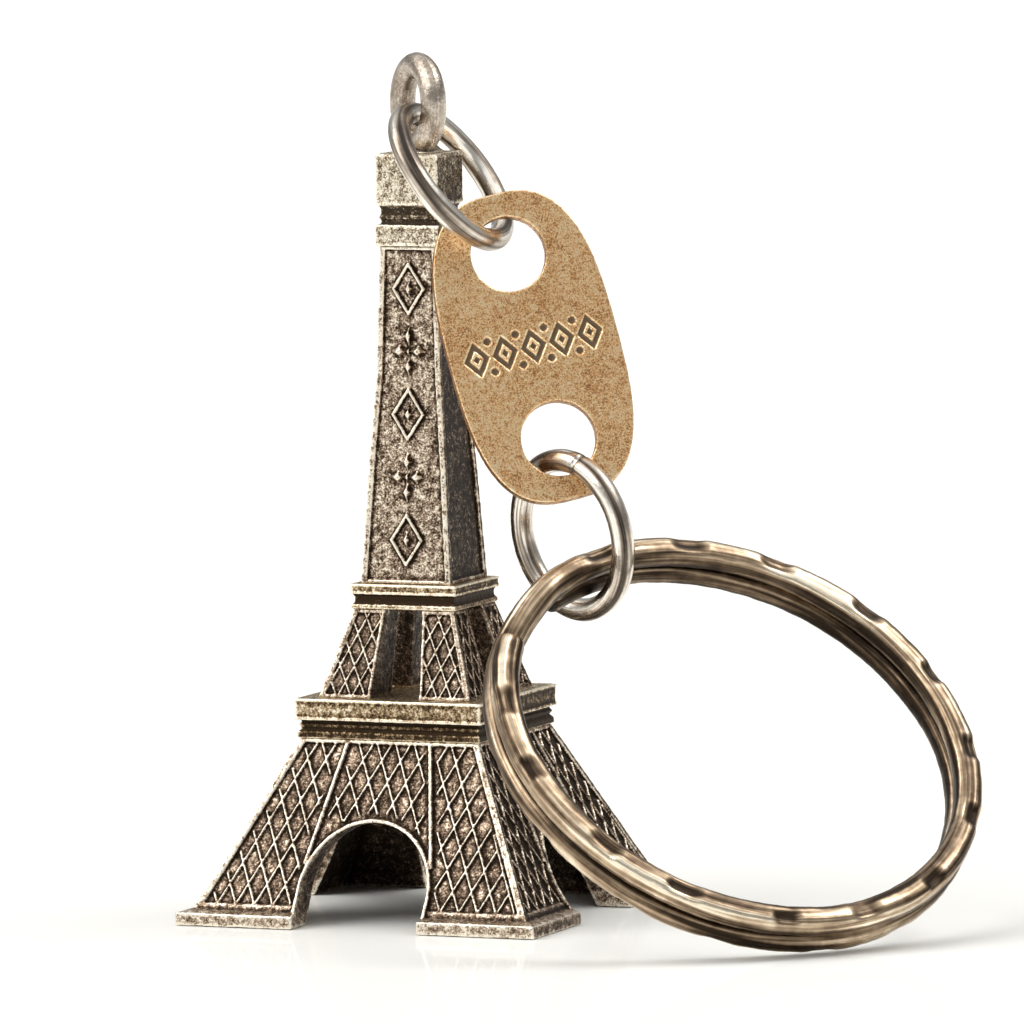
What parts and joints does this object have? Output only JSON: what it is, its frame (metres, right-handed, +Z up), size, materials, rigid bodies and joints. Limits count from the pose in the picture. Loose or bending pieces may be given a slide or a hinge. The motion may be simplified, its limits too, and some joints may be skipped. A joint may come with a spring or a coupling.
{
  "type": "keychain",
  "caption": "Keychain with a cast lattice tower charm, linked by jump rings and an oval two-hole tag to a double-coil split key ring.",
  "frame": {"origin": "centre of the tower's foot, on the surface that it stands on", "axes": "+Z up along the tower's axis, -Y out of the tower's front face, +X towards the split ring"},
  "size_m": [0.0466, 0.0315, 0.0507],
  "materials": {
    "casting": "antique bronze plating, dark in the recesses, rubbed bright on the edges",
    "platforms": "antique bronze plating, rubbed pale and grainy",
    "eye_wire": "antique bronze plating, polished by wear",
    "ring_wire": "antique bronze plated wire, streaky and glossy",
    "tag_plate": "antique brass, fine scratches, satin",
    "split_wire": "antique bronze plated wire, dimpled, glossy"
  },
  "bodies": {
    "tower": {"leg_front_left": "casting", "leg_front_right": "casting", "leg_back_right": "casting", "leg_back_left": "casting", "first_platform": "platforms", "pier_front_left": "casting", "pier_front_right": "casting", "pier_back_right": "casting", "pier_back_left": "casting", "second_platform": "platforms", "spire": "casting", "collar": "platforms", "cap": "platforms", "eye": "eye_wire"},
    "upper_ring": {"upper_jump_ring": "ring_wire"},
    "tag": {"tag": "tag_plate"},
    "lower_ring": {"lower_jump_ring": "ring_wire"},
    "split_ring": {"split_ring": "split_wire"}
  },
  "joints": [
    {"name": "upper_ring_swing", "type": "hinge", "parent": "tower", "child": "upper_ring", "pos_m": [0.00011, -0.0001, 0.04704], "axis": [-0.1684, -0.9627, 0.2117], "range_deg": [0, 95]},
    {"name": "tag_swing", "type": "hinge", "parent": "upper_ring", "child": "tag", "pos_m": [0.00518, -0.00115, 0.03986], "axis": [0.0086, -0.9992, -0.0384], "range_deg": [0, 60]},
    {"name": "lower_ring_swing", "type": "hinge", "parent": "tag", "child": "lower_ring", "pos_m": [0.00939, -0.00241, 0.02702], "axis": [-0.8667, 0.4705, -0.1659], "range_deg": [0, 50]},
    {"name": "split_ring_swing", "type": "hinge", "parent": "lower_ring", "child": "split_ring", "pos_m": [0.01035, -0.00218, 0.02265], "axis": [-0.4506, -0.881, -0.1442], "range_deg": [0, 60]}
  ]
}
